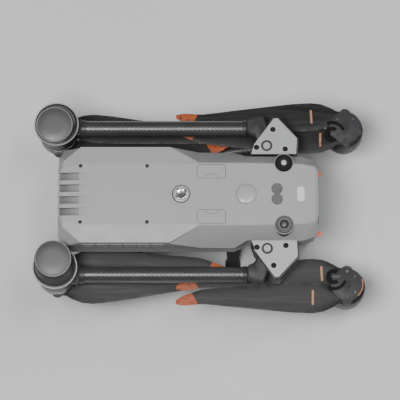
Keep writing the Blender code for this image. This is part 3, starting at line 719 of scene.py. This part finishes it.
def deck_fittings():
    """On the deck: the dome, the button's rim, the nose sensors, the badge and two cameras."""
    x, y = BEACON_AT
    at = (x, y, 0)
    dome = [(0, 172), (11.1, 172), (11.1, 179.9), (10.7, 180.4), (9.6, 180.75), (6.5, 181.1), (3, 181.25),
            (0, 181.3)]
    piece("beacon_lens", turned(dome), DOME, FUSELAGE, at, stands_for=["beacon_dome"])
    rim = ring_shape(12.4, 11.5, 179.7, 180.15, ease=0.12)
    piece("beacon_rim", rim, SHELL, FUSELAGE, at)

    x, y = BUTTON_AT
    at = (x, y, 0)
    rim = ring_shape(12.3, 10.2, 179.6, 180.5, ease=0.3)
    piece("button_rim", rim, DOME, FUSELAGE, at)
    # Near-black ring in the groove round the button: painted shade
    groove_shade = ring_shape(10.2, 9.35, 178.2, 180.0, ease=0.1)
    piece("button_groove", groove_shade, RECESS_SHADE, FUSELAGE, at)

    centres = [(SENSOR_X, SENSOR_Y * s, 0) for s in (1, -1)]
    windows = [moved(disc(5.9, 179.7, 180.18, ease=0.12), centre) for centre in centres]
    piece("sensor_windows", together(*windows), WINDOW, FUSELAGE)
    # A dark grey ring round each window: painted shadow of its seam
    rims = [moved(ring_shape(6.3, 5.9, 179.7, 180.1, ease=0.1), centre) for centre in centres]
    piece("sensor_rims", together(*rims), SEAM_SHADOW, FUSELAGE)

    badge = prism(rounded(8.0, 17.0, 3.6), 179.8, 180.12)
    piece("nose_badge", badge, BADGE, FUSELAGE, (110.5, 0, 0), rounding=0.05)

    for name, side in SIDES:
        x, y = TOP_CAMERA_AT
        at = (x, y * side, 0)
        bezel_finish, ring_finish, eye_finish = CAMERA_PAINTED_LIGHT_FINISHES[name]
        bezel = [(0, 165), (9.4, 165), (9.4, 182.3), (9.0, 183.0), (8.3, 183.4), (7.6, 183.4), (7.2, 183.0),
                 (6.4, 181.2), (0, 181.2)]
        piece("camera_bezel_" + name, turned(bezel), bezel_finish, FUSELAGE, at,
              stands_for=["top_camera_" + name])
        ring = ring_shape(7.4, 4.2, 182.0, 183.45, ease=0.3)
        piece("camera_ring_" + name, ring, ring_finish, FUSELAGE, at)
        # Near-black ring inside the camera's ring: painted shade
        well = ring_shape(5.0, 3.0, 181.5, 183.49, ease=0.1)
        piece("camera_well_" + name, well, RECESS_SHADE, FUSELAGE, at)
        eye = [(0, 180.8), (4.3, 180.8), (4.2, 181.9), (3.2, 182.5), (1.6, 182.85), (0, 182.9)]
        piece("camera_eye_" + name, turned(eye), eye_finish, FUSELAGE, at)
        skirt = ring_shape(10.6, 9.75, 178.6, 180.9, ease=0.5)
        piece("camera_skirt_" + name, skirt, SHELL, FUSELAGE, at)

    refined("main_board", BOARD, 0.2)


def power_button():
    """The cap, its bright knob and four small lights around it."""
    x, y = BUTTON_AT
    at = (x, y, DECK_Z)
    body = "power_button_body"
    skirt = [(0, -7.8), (10.8, -7.8), (10.8, -4.7), (9.0, -4.7), (9.0, 0.5), (8.7, 0.9), (8.0, 1.1), (0, 1.1)]
    piece("button_skirt", turned(skirt), DOME, body, at, stands_for=["power_button"])
    knob = [(0, 1.0), (7.0, 1.0), (7.0, 1.5), (6.6, 1.85), (5.2, 2.1), (4.6, 1.9), (0, 1.9)]
    piece("button_knob", turned(knob), CHROME_KNOB, body, at)
    lights = []
    for number in range(4):
        start = 50 + number * 90
        outline = arc((0, 0), 6.6, start, start + 60, 8) + arc((0, 0), 5.5, start + 60, start, 8)
        lights.append(prism(outline, 1.8, 1.98))
    piece("button_lights", together(*lights), WHITE_LAMP, body, at)


def port_covers():
    """The two small covers, each with a thin dark arc on its inner edge, a painted shadow standing for a
    shallow finger groove.
    """
    for name, side in SIDES:
        cover = "port_cover_" + name
        low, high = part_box(cover)
        refined(cover, SHELL, 0.45)
        middle = (low[0] + high[0]) / 2 / MM
        inner = min(abs(low[1]), abs(high[1])) / MM * side
        # A thin dark arc laid on the cover: painted shadow standing for the finger groove
        groove_shade = arc((0, 0), 9.0, 215, 325, 14) + arc((0, 0), 8.5, 325, 215, 14)
        groove_shade = [(x, -(y + 9.0) * side) for x, y in groove_shade]
        mark = prism(groove_shade, DECK_Z + 0.02, DECK_Z + 0.16)
        at = (middle, inner + side * 5.0, 0)
        piece("port_groove_" + name, mark, SEAM_SHADOW, cover + "_body", at)


# ------------------------ batteries and lock

BATTERY_RIB_ZS = (88.5, 91.0, 93.5, 106.5, 109.0, 111.5)


def batteries():
    """The two packs with their grips, lights and buttons, the lock between them and the fan."""
    for name, _ in SIDES:
        node = "battery_" + name
        body = node + "_body"
        refined(node, PACK, 1.6, segments=3)
        low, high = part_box(node)
        low, high = [v / MM for v in low], [v / MM for v in high]
        middle_y, tail = (low[1] + high[1]) / 2, low[0]
        # A near-black patch on the pack's tail: painted shade of a recessed grip
        recess = prism(rounded(24, 12, 3), 0, 0.25)
        grip = moved(pitched(recess, -90), (tail - 0.05, middle_y, 100))
        piece("battery_grip_" + name, grip, RECESS_SHADE, body)
        ribs = [slab((1.0, 22, 0.9), (tail - 0.35, middle_y, z)) for z in BATTERY_RIB_ZS]
        piece("battery_ribs_" + name, together(*ribs), RUBBER, body, rounding=0.2)
        dot = disc(0.9, -0.2, 0.25, "X", 0.05)
        dots = [moved(dot, (tail - 0.2, middle_y - 6 + 4 * n, 130)) for n in range(4)]
        piece("battery_lights_" + name, together(*dots), GREEN_LAMP, body)
        push = moved(disc(3.6, -0.9, 0.2, "X", 0.0), (tail, middle_y, 121))
        piece("battery_button_" + name, push, SATIN_BLACK, body)
    refined("battery_lock", SATIN_BLACK, 0.4)
    refined("cooling_fan", SATIN_BLACK, 0.2)


# ------------------------ landing legs

LEG_XS = {"front": 38.0, "rear": -118.0}
LEG_Y = 42.0


def landing_legs():
    for end, x in LEG_XS.items():
        for name, side in SIDES:
            refined("landing_leg_" + end + "_" + name, BLACK, 0.9, crease=50)
            pad = prism(rounded(17.4, 13.4, 4.0), 0.0, 2.2)
            at = (x, LEG_Y * side, 0)
            piece("foot_pad_" + end + "_" + name, pad, RUBBER, FUSELAGE, at, rounding=0.4)


# ------------------------ gimbal and cameras

FPV_AT = (0.0, 0.0, 112.0)
GIMBAL_X = 96.0
TILT_AT = (104.0, 0.0, 42.0)
CAMERA_FRONT = TILT_AT[0] + 23.0
# Name, radius, and place across and above the tilt axis
GIMBAL_LENSES = (("zoom", 7.4, -8.5, 4.5), ("wide", 4.6, 9.5, 8.0), ("thermal", 5.2, 9.5, -6.0),
                 ("range", 2.6, -11.0, -9.5))


def gimbal():
    damper = [(0, 88), (16.6, 88), (17.4, 88.4), (20, 90.4), (20, 94.4), (19.8, 94.7), (0, 94.7)]
    piece("gimbal_damper", turned(damper), BLACK, FUSELAGE, (GIMBAL_X, 0, 0),
          stands_for=["gimbal_mount"])
    refined("gimbal_yaw_arm", ANODISED, 1.2)
    refined("gimbal_roll_arm", ANODISED, 1.0)
    refined("gimbal_camera", SATIN_BLACK, 1.0)
    x = CAMERA_FRONT
    plate = prism(rounded(30, 38, 4), 0, 0.5)
    face = moved(pitched(plate, 90), (x - 0.1, 0, TILT_AT[2]))
    body = "gimbal_camera_body"
    piece("camera_face", face, GLASS, body, rounding=0.15)
    for label, radius, dy, dz in GIMBAL_LENSES:
        at = (x, dy, TILT_AT[2] + dz)
        ring = ring_shape(radius + 1.0, radius - 0.4, 0.2, 1.2, "X")
        piece("lens_ring_" + label, ring, ANODISED, body, at)
        bulge = [(0, 0.1), (radius - 0.4, 0.1), (radius - 0.6, 0.35), (radius * 0.6, 0.8), (0, 1.0)]
        piece("lens_eye_" + label, turned(bulge, "X"), COATED, body, at)


def nose():
    """Forward camera, the two forward sensors and the small lamps at the nose corners."""
    barrel = [(0, 118.4), (10, 118.4), (10, 124.4), (9.4, 125.2), (8.2, 126.6), (7.6, 127), (7.0, 126.4),
              (6.4, 125.2), (0, 125.2)]
    piece("fpv_barrel", turned(barrel, "X"), SATIN_BLACK, FUSELAGE, FPV_AT,
          stands_for=["fpv_camera"])
    eye = [(0, 125.0), (5.6, 125.0), (5.2, 125.8), (3.2, 126.5), (0, 126.8)]
    piece("fpv_eye", turned(eye, "X"), COATED, FUSELAGE, FPV_AT)
    for name, side in SIDES:
        lamp = prism(rounded(11.0, 5.6, 1.6), 128.4, 131.4)
        piece("nose_lamp_" + name, lamp, RED_LAMP, FUSELAGE, (NOSE_X, 34.0 * side, 0),
              rounding=0.4)
        at = (NOSE_X - 0.6, 21 * side, 150)
        pod = moved(disc(5.0, 0, 1.6, "X"), at)
        piece("forward_sensor_" + name, pod, GLASS, FUSELAGE)
        rim = moved(ring_shape(6.2, 5.0, 0, 1.9, "X"), at)
        piece("forward_sensor_rim_" + name, rim, SATIN_BLACK, FUSELAGE)


# ------------------------ arm hinges

BRACKET_Z = 165.0
BRACKET_SCREWS = ((7.0, 18.8), (-11.2, -1.6), (20.5, -3.5))


def hinges():
    x, y = FRONT_HINGE
    for name, side in SIDES:
        refined("front_bracket_" + name, BRACKET, 0.7)
        refined("front_hinge_" + name, SATIN_BLACK, 0.6)
        places = [(x + sx, (y + sy) * side, BRACKET_Z - 1.0) for sx, sy in BRACKET_SCREWS]
        heads = [moved(disc(2.9, -1.9, 0.0, ease=0.25), place) for place in places]
        piece("bracket_screws_" + name, together(*heads), RUBBER, FUSELAGE)
        # Near-black discs in the screw heads: painted shade of the sockets
        sockets = [moved(disc(1.2, -0.4, 0.06, ease=0.02), place) for place in places]
        piece("bracket_sockets_" + name, together(*sockets), RECESS_SHADE, FUSELAGE)
        at = (x, y * side, 0)
        head = [(0, 126), (3, 126), (3, 165.3), (6.2, 165.3), (6.2, 166.1), (5.7, 166.7), (4.6, 166.9),
                (4.3, 166.4), (0, 166.4)]
        piece("fold_pin_" + name, turned(head), SLEEVE, FUSELAGE, at,
              stands_for=["front_fold_pin_" + name])
        cap = disc(4.0, 166.2, 166.9, ease=0.2)
        piece("fold_pin_cap_" + name, cap, BRACKET, FUSELAGE, at)
        refined("rear_bracket_" + name, SATIN_BLACK, 0.8)


# ------------------------ rotors

MARKED_HUBS = ("rear_right", "front_left")
FINGER_GAP_AT = (-14.8, -8.6, 0)
BLADE_PITCH = 11.0
BLADE_TIP_PITCH = 5.0
BLADE_ROWS = 34
CHORD_POINTS = ((0, 0.28), (4, 0.28), (10, 0.36), (16, 0.62), (26, 0.88), (38, 1.0), (60, 0.97), (100, 0.78),
                (140, 0.58), (164, 0.45), (182, 0.32), (190, 0.12))
THICK_POINTS = ((0, 4.5), (10, 4.4), (16, 4.1), (26, 3.5), (38, 2.9), (60, 2.5), (100, 2.2), (140, 1.9),
                (164, 1.6), (182, 1.3), (190, 1.0))
TIP_RAKE_START = 160.0
TIP_RAKE = 0.19
SECTION = ((0.5, 0.0), (0.44, 0.2), (0.28, 0.42), (0.12, 0.53), (-0.06, 0.54), (-0.28, 0.40), (-0.42, 0.18),
           (-0.5, 0.05), (-0.42, -0.08), (-0.28, -0.2), (0.0, -0.3), (0.28, -0.32), (0.44, -0.2))


def between(table, at):
    """Read a table of (place, value) with straight runs between its rows."""
    for (x0, v0), (x1, v1) in zip(table, table[1:]):
        if at <= x1:
            return v0 + (v1 - v0) * (at - x0) / (x1 - x0)
    return table[-1][1]


def blade_shape(facing, sign):
    """The CAD blade's envelope with finer rows and a rounder section."""
    rings = []
    for row in range(BLADE_ROWS + 1):
        along = 4 + (BLADE_LENGTH - 4) * row / BLADE_ROWS
        pitch = math.radians(sign * (BLADE_PITCH + (BLADE_TIP_PITCH - BLADE_PITCH) * along / BLADE_LENGTH))
        cosine, sine = math.cos(pitch), math.sin(pitch)
        rake = TIP_RAKE * max(0.0, along - TIP_RAKE_START) / (BLADE_LENGTH - TIP_RAKE_START)
        width, thick = between(CHORD_POINTS, along) * 0.99, between(THICK_POINTS, along) * 0.98
        ring = []
        for across, up in SECTION:
            y = (across * width - rake) * BLADE_CHORD * sign
            z = up * thick
            ring.append((along, y * cosine - z * sine, y * sine + z * cosine))
        rings.append(ring)
    return yawed(loft(rings), facing)


def crescent(radius, bore, start, end, low, high):
    outline = arc((0, 0), radius, start, end, 20) + arc((0, 0), bore, end, start, 20)
    return prism(outline, low, high)


def rotor(prefix, motor, side, up, facing, face):
    """Bell, hub and two blades on a motor axis; face is the height of the motor's mounting face."""
    x, y = motor[0], motor[1] * side
    body = prefix + "_rotor"
    at = (x, y, face)
    bell = [(0, 19.5), (15, 19.5), (17.4, 19.2), (19.8, 18.0), (20.8, 16.4), (20.8, 1.6), (21.0, 1.3),
            (21.0, 0.5), (20.7, 0.3), (19, 0.3), (19, 15.4), (0, 15.4)]
    metal = brushed(prefix + "_bell_metal", (0.085, 0.086, 0.090), 0.34, (x * MM, y * MM))
    piece(prefix + "_bell_case", flipped(turned(bell), up), metal, body, at,
          stands_for=[prefix + "_bell"])
    # Thin near-black patches on the bell: painted shade of its vent slots
    slot = moved(pitched(prism(rounded(3.6, 2.2, 0.9, 3), -0.1, 0.1), 27), (18.65, 0, 18.75))
    slots = [yawed(slot, number * 22.5) for number in range(16)]
    piece(prefix + "_bell_vents", flipped(together(*slots), up), RECESS_SHADE, body, at)
    band = ring_shape(20.95, 20.6, 3.2, 4.0, ease=0.1)
    piece(prefix + "_bell_band", flipped(band, up), STEEL, body, at)
    hub(prefix, side, up, facing, (x, y, face + up * (BELL_H + GAP)))

    middle = face + up * (BELL_H + GAP + HUB_H / 2)
    for label, hand in (("a", 1), ("b", -1)):
        blade = prefix + "_blade_" + label
        at = (x, y + BLADE_PIN_OFFSET * side * hand, middle)
        lean = BLADE_LEAN[prefix][label] * side * hand * (1 if facing else -1)
        root_line = ROOT_LINES[label] if facing else 0
        paint = blade_material(blade + "_paint", at, facing + lean, side * up, root_line)
        shape = blade_shape(facing + lean, side * up)
        piece(blade + "_skin", shape, paint, blade, at, stands_for=[blade], crease=50)
        eye = [(6.9, -3.9), (6.9, 3.6), (6.6, 3.9), (2.35, 3.9), (2.35, -3.9), (6.6, -3.9)]
        piece(blade + "_eye", turned(eye, steps=40), BLACK, blade, at)


def hub(prefix, side, up, facing, at):
    """The two plates, the blade pins, two near-black crescents that are painted shadow of the gaps round the
    blades' roots, and a tongue over the roots.
    """
    body = prefix + "_rotor"
    plates = [(0, 0), (16.8, 0), (17.7, 0.5), (18, 1.1), (17.8, 1.8), (6.6, 1.8), (6.6, 10.2), (17.8, 10.2),
              (18, 10.9), (17.6, 11.5), (16.4, 11.9), (0, 11.9)]
    piece(prefix + "_hub_plates", flipped(turned(plates), up), SLEEVE, body, at,
          stands_for=[prefix + "_hub"])
    toward = 1 if facing else -1
    pins, lugs = [], []
    for hand in (1, -1):
        pins.append(moved(disc(2.2, 1.9, 12.35, ease=0.3), (0, BLADE_PIN_OFFSET * side * hand, 0)))
        lug = prism(rounded(8.0, 4.6, 2.0), 11.7, 12.1)
        lugs.append(moved(yawed(lug, -35 * hand * side), (0, 5.6 * side * hand, 0)))
    # Two near-black crescents about the hub's finger: painted shadow of the gaps round a blade root
    clip = crescent(8.6, 4.2, 50, 305, 10.6, 12.5)
    band = crescent(15.4, 11.8, 20, 112, 10.8, 12.3)
    gap_shades = mirrored(moved(together(clip, band), FINGER_GAP_AT), toward, side)
    piece(prefix + "_hub_clips", flipped(gap_shades, up), GAP_SHADOW_BLACK, body, at, rounding=0.3)
    tongue = prism(rounded(8.5, 3.8, 1.8), 10.8, 12.7)
    tongue = mirrored(moved(tongue, (FINGER_GAP_AT[0] + 2.2, FINGER_GAP_AT[1], 0)), toward, side)
    piece(prefix + "_hub_tongue", flipped(tongue, up), CLIP_GREY, body, at, rounding=0.4)
    bolts = []
    for number in range(4):
        angle = math.radians(45 + number * 90)
        place = (12.4 * math.cos(angle), 12.4 * math.sin(angle), 0)
        bolts.append(moved(disc(1.6, 11.6, 12.15, ease=0.15), place))
    lugs.append(disc(4.8, 11.7, 12.2, ease=0.3))
    trim = ring_shape(16.3, 15.7, 11.7, 12.0, ease=0.08)
    piece(prefix + "_hub_trim", flipped(trim, up), BLACK, body, at)
    piece(prefix + "_hub_pins", flipped(together(*pins), up), DARK_STEEL, body, at)
    piece(prefix + "_hub_lugs", flipped(together(*lugs), up), BLACK, body, at, rounding=0.15)
    piece(prefix + "_hub_bolts", flipped(together(*bolts), up), DARK_STEEL, body, at)
    if prefix in MARKED_HUBS:
        mark = crescent(17.95, 16.7, -48, 20, 10.6, 12.0)
        piece(prefix + "_hub_mark", flipped(mark, up), ORANGE_PAINT, body, at)


# ------------------------ front arms

def collar(name, body, place, radius, long, at, aim=0.0):
    """A clamp ring round an arm's tube, with a slit."""
    band = [(radius, place - long / 2), (radius, place + long / 2), (TUBE_R + 0.05, place + long / 2),
            (TUBE_R + 0.05, place - long / 2)]
    piece(name, yawed(turned(band, "X"), aim), SATIN_BLACK, body, at, rounding=0.5)
    # A near-black strip: painted shade of the collar's slit
    slit = slab((long * 0.9, 0.5, 0.5), (place, 0, radius))
    piece(name + "_slit", yawed(slit, aim), RECESS_SHADE, body, at)


def tube_skin(prefix, start, end, carbon, at, aim=0.0):
    """The wall of an arm's carbon tube, open at both ends."""
    wall = [(TUBE_R, start), (TUBE_R, end), (TUBE_BORE, end), (TUBE_BORE, start)]
    piece(prefix + "_tube_skin", yawed(turned(wall, "X"), aim), carbon, prefix + "_arm", at,
          stands_for=[prefix + "_tube"])


def front_arm(name, side):
    prefix = "front_" + name
    body = prefix + "_arm"
    motor_x, motor_y = FRONT_MOTOR[0], FRONT_MOTOR[1] * side
    line = (0, FRONT_ARM_Y * side, FRONT_ARM_Z)
    low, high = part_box(prefix + "_tube")
    start, end = low[0] / MM, high[0] / MM
    carbon = woven_tube(prefix + "_carbon", line[1] * MM, 0.0, FRONT_ARM_Z * MM)
    tube_skin(prefix, start, end, carbon, line)

    refined(prefix + "_knuckle", SLEEVE, 2.2, segments=3)
    collar(prefix + "_collar_knuckle", body, end - 2.2, 9.5, 4.4, line)
    collar(prefix + "_collar_motor", body, start + 3.2, 9.8, 6.4, line)

    at = (motor_x, motor_y, 0)
    can = [(0, 136.2), (20.6, 136.2), (21.0, 136.7), (21.5, 150), (22.9, 160), (24.3, 168.4), (24.5, 169.6),
           (24.5, 172.6), (24.1, 173.4), (23.2, 173.9), (0, 173.9)]
    piece(prefix + "_motor_can", turned(can), SATIN_BLACK, body, at,
          stands_for=[prefix + "_motor_mount"])
    rim = ring_shape(24.45, 23.1, 172.4, 174.1, ease=0.4)
    piece(prefix + "_motor_rim", rim, RIM_METAL, body, at)
    neck = prism(rounded(19, 20.6, 3), 136.8, 153.2)
    piece(prefix + "_motor_neck", neck, SATIN_BLACK, body, (start - 8.2, line[1], 0),
          rounding=1.6, segments=3)
    end_cap(prefix, body, side, at)
    rotor(prefix, FRONT_MOTOR, side, -1, 0, FRONT_FACE_Z)


# Where the cap over a front motor starts to lean, its lip, and its lean back and inwards
CAP_FOOT_Z = 174.0
CAP_LIP_Z = 194.5
CAP_LEAN = (-0.06, -0.28)


def end_cap(prefix, body, side, at):
    """The tall leaning cap over a front motor: dark wall, bright lip and a turned metal lid."""
    lean = (CAP_FOOT_Z, CAP_LEAN[0], CAP_LEAN[1] * side)
    wall = [(0, 174.4), (21.6, 174.4), (21.8, 174.9), (21.7, 176), (21.2, 182), (20.5, 188.6), (20.0, 191.6),
            (19.7, 192.3), (0, 192.3)]
    piece(prefix + "_cap_wall", leaned(turned(wall), *lean), CAP_WALL, body, at,
          stands_for=[prefix + "_end_cap"])
    rise = CAP_LIP_Z - CAP_FOOT_Z
    middle = ((at[0] + rise * lean[1]) * MM, (at[1] + rise * lean[2]) * MM)
    metal = brushed(prefix + "_cap_metal", (0.115, 0.115, 0.12), 0.50, middle, metallic=0.4)
    lid = [(0, 192.0), (18.7, 192.0), (18.7, 194.2), (18.2, 194.45), (9, 194.8), (0, 194.9)]
    piece(prefix + "_cap_lid", leaned(turned(lid), *lean), metal, body, at)
    lip = ring_shape(19.9, 18.75, 191.8, CAP_LIP_Z, ease=0.55)
    piece(prefix + "_cap_lip", leaned(lip, *lean), RIM_METAL, body, at)
    # Near-black ring between lip and wall: painted shade of the groove
    groove_shade = ring_shape(20.6, 19.95, 191.2, 191.9, ease=0.1)
    piece(prefix + "_cap_groove", leaned(groove_shade, *lean), RECESS_SHADE, body, at)


# ------------------------ rear arms

def rear_arm(name, side):
    prefix = "rear_" + name
    body = prefix + "_arm"
    dx, dy = REAR_MOTOR[0] - REAR_HINGE[0], REAR_MOTOR[1] - REAR_HINGE[1]
    aim = math.degrees(math.atan2(dy, dx)) * side
    reach = math.hypot(dx, dy)
    slope = dy / dx * side
    at = (REAR_HINGE[0], REAR_HINGE[1] * side, REAR_ARM_Z)
    line_y = (REAR_HINGE[1] * side - slope * REAR_HINGE[0]) * MM
    carbon = woven_tube(prefix + "_carbon", line_y, slope, REAR_ARM_Z * MM)
    start, end = 32.3, reach - 22
    tube_skin(prefix, start, end, carbon, at, aim)
    refined(prefix + "_knuckle", SLEEVE, 2.0, segments=3)
    collar(prefix + "_collar_knuckle", body, start + 2.6, 10.2, 5.0, at, aim)
    collar(prefix + "_collar_motor", body, end - 3.0, 10.0, 6.0, at, aim)

    place = (REAR_MOTOR[0], REAR_MOTOR[1] * side, 0)
    can = [(0, 70.1), (13, 70.1), (15.5, 70.5), (18.6, 72.7), (20.0, 78), (20.9, 84), (21.0, 92.8),
           (20.6, 93.4), (0, 93.4)]
    piece(prefix + "_motor_can", turned(can), SATIN_BLACK, body, place,
          stands_for=[prefix + "_motor_mount"])
    neck = [(9.6, reach - 21.6), (10.2, reach - 21), (10.6, reach - 12), (0, reach - 12), (0, reach - 21.6)]
    piece(prefix + "_motor_neck", yawed(turned(neck, "X"), aim), SATIN_BLACK, body, at,
          rounding=0.4)
    glass = GREEN_LAMP if side < 0 else RED_LAMP
    piece(prefix + "_position_lamp", disc(6.0, 69.6, 70.5, ease=0.3), glass, body, place)
    rotor(prefix, REAR_MOTOR, side, 1, 180, REAR_FACE_Z)


stage()
fuselage()
deck_fittings()
power_button()
port_covers()
batteries()
landing_legs()
gimbal()
nose()
hinges()
for side_name, side_sign in SIDES:
    front_arm(side_name, side_sign)
    rear_arm(side_name, side_sign)
